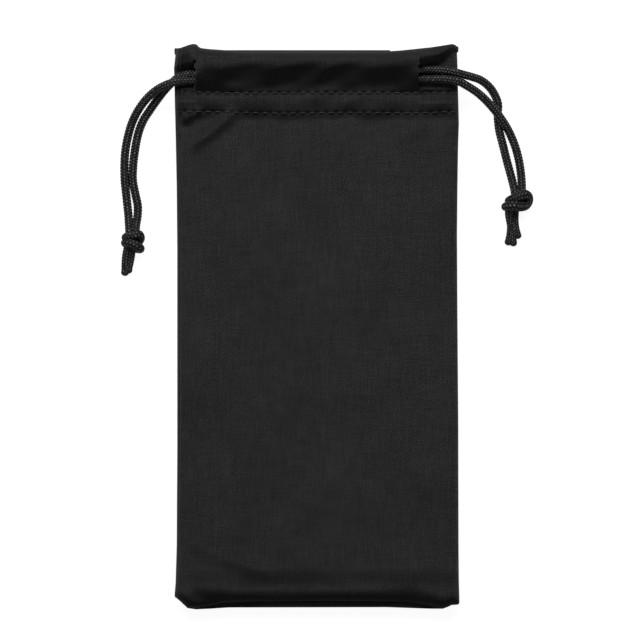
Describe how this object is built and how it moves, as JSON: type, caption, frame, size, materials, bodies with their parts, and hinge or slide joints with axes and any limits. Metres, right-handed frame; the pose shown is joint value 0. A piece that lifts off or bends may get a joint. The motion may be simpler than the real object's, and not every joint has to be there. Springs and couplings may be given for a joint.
{
  "type": "eyeglass pouch",
  "caption": "Flat soft cloth pouch for eyeglasses with a sewn mouth casing and knotted braided drawcords that leave a slit at each side to draw the mouth shut.",
  "frame": {"origin": "on the table under the middle of the pouch, which lies on its back", "axes": "+X to the right seen from the front, +Y from the closed end to the mouth, +Z from the back panel to the front panel"},
  "size_m": [0.1332, 0.18, 0.0126],
  "materials": {
    "cloth": "black matte microfibre",
    "thread": "black sewing thread",
    "cord": "black braided cord"
  },
  "bodies": {
    "back_half": {"back_panel": "cloth", "back_lower_stitch": "thread", "back_upper_stitch": "thread", "left_seam_thread": "thread", "right_seam_thread": "thread", "bottom_seam_thread": "thread", "left_cord_back_run": "cord", "right_cord_back_run": "cord"},
    "front_half": {"front_panel": "cloth", "front_lower_stitch": "thread", "front_upper_stitch": "thread", "left_cord_front_run": "cord", "left_cord_return_run": "cord", "right_cord_front_run": "cord", "right_cord_return_run": "cord"},
    "left_cord": {"left_cord_outer_strand": "cord", "left_cord_inner_strand": "cord", "left_cord_outer_tail": "cord", "left_cord_inner_tail": "cord", "left_cord_knot": "cord"},
    "right_cord": {"right_cord_outer_strand": "cord", "right_cord_inner_strand": "cord", "right_cord_outer_tail": "cord", "right_cord_inner_tail": "cord", "right_cord_knot": "cord"}
  },
  "joints": [
    {"name": "mouth_open", "type": "hinge", "parent": "back_half", "child": "front_half", "pos_m": [0, -0.09, 0.0045], "axis": [1, 0, 0], "range_deg": [0, 8]},
    {"name": "left_cord_pull", "type": "slide", "parent": "front_half", "child": "left_cord", "axis": [-1, 0, 0], "range_m": [0, 0.025]},
    {"name": "right_cord_pull", "type": "slide", "parent": "front_half", "child": "right_cord", "axis": [1, 0, 0], "range_m": [0, 0.022]}
  ]
}
